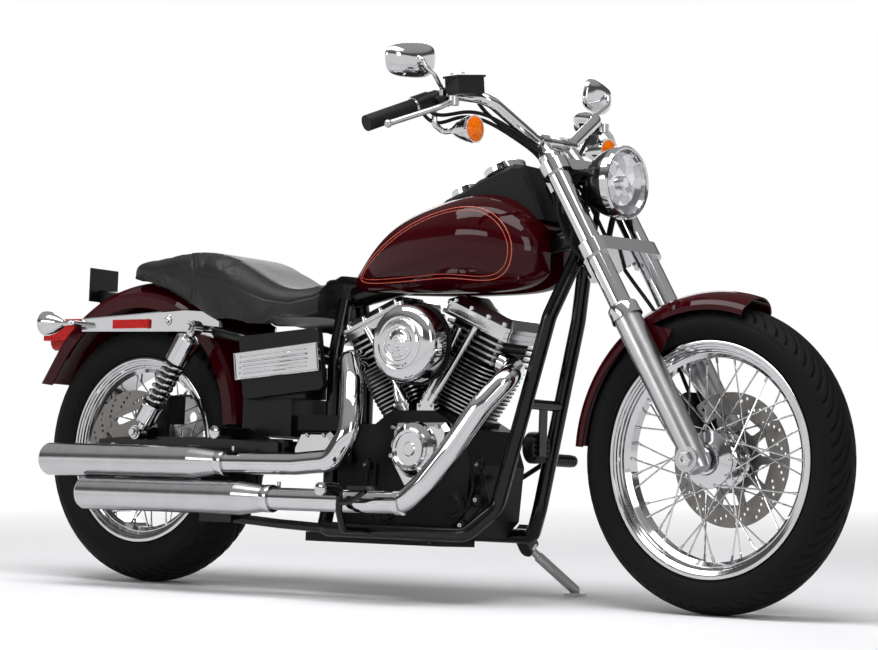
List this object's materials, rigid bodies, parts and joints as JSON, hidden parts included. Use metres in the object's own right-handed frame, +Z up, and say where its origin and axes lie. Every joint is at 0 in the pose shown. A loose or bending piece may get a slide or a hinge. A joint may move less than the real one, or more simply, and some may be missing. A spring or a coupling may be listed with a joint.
{
  "type": "motorcycle",
  "caption": "Cruiser motorcycle with a V-twin engine, teardrop tank, two-up seat, wire wheels and twin right-side mufflers, leaning on its side stand.",
  "frame": {"origin": "bottom centre of the machine's box, on the ground it stands on", "axes": "+X forward, +Y to the rider's left, +Z up; the machine leans left onto its side stand"},
  "size_m": [2.3416, 0.8972, 1.2462],
  "materials": {
    "tyre": "matt",
    "black_paint": "gloss",
    "red_paint": "gloss",
    "chrome": "polished",
    "alloy": "satin",
    "steel": "brushed",
    "black_engine": "satin",
    "leather": "soft grain",
    "rubber": "matt",
    "black_plastic": "matt",
    "amber": "clear",
    "red_lens": "clear",
    "clear_lens": "clear",
    "mirror": "mirror"
  },
  "bodies": {
    "frame": {"frame_tubes": "black_paint", "swing_arm": "black_paint", "rear_axle": "steel", "drive_belt": "rubber", "rear_caliper": "black_engine", "shocks": "chrome", "shock_springs": "chrome", "rear_fender": "red_paint", "fender_struts": "chrome", "red_lenses": "red_lens", "rear_signals": "chrome", "rear_signal_lenses": "amber", "plate_bracket": "black_paint", "crankcase": "black_engine", "finned_cylinders": "black_engine", "rocker_boxes": "chrome", "cam_cover": "chrome", "pushrod_tubes": "chrome", "air_cleaner_back": "black_engine", "air_cleaner_cover": "chrome", "primary_cover": "chrome", "gearbox": "black_engine", "gearbox_cover": "chrome", "header_pipes": "chrome", "mufflers": "chrome", "fuel_tank": "red_paint", "tank_console": "black_plastic", "tank_gauges": "chrome", "seat": "leather", "battery_box": "black_paint", "battery_band": "chrome", "horn": "black_engine", "foot_controls": "black_paint"},
    "fork": {"fork_sliders": "alloy", "fork_tubes": "chrome", "front_axle": "steel", "triple_clamps": "chrome", "handlebar": "chrome", "handlebar_grips": "rubber", "switch_housings": "black_plastic", "hand_levers": "alloy", "mirrors": "chrome", "mirror_glasses": "mirror", "front_signals": "chrome", "front_signal_lenses": "amber", "headlamp_shell": "black_paint", "headlamp_bezel": "chrome", "headlamp_lens": "clear_lens", "front_fender": "red_paint", "front_caliper": "black_engine"},
    "front_wheel": {"front_tyre": "tyre", "front_wire_wheel": "chrome", "front_brake_disc": "steel"},
    "rear_wheel": {"rear_tyre": "tyre", "rear_wire_wheel": "chrome", "rear_brake_disc": "steel", "rear_belt_pulley": "steel"},
    "side_stand": {"side_stand": "steel"}
  },
  "joints": [
    {"name": "steering", "type": "hinge", "parent": "frame", "child": "fork", "pos_m": [0.48065, -0.02057, 0.81372], "axis": [-0.515, 0.0523, 0.8556], "range_deg": [-29, 36]},
    {"name": "front_wheel_spin", "type": "hinge", "parent": "fork", "child": "front_wheel", "pos_m": [0.84015, -0.05361, 0.33087], "axis": [0.0508, 0.9982, -0.0305], "continuous": true},
    {"name": "rear_wheel_spin", "type": "hinge", "parent": "frame", "child": "rear_wheel", "pos_m": [-0.78976, -0.0503, 0.32772], "axis": [0, 0.9981, -0.061], "continuous": true},
    {"name": "side_stand_fold", "type": "hinge", "parent": "frame", "child": "side_stand", "pos_m": [0.24024, 0.10505, 0.11584], "axis": [0.0246, 0.7926, 0.6093], "range_deg": [0, 94]}
  ]
}
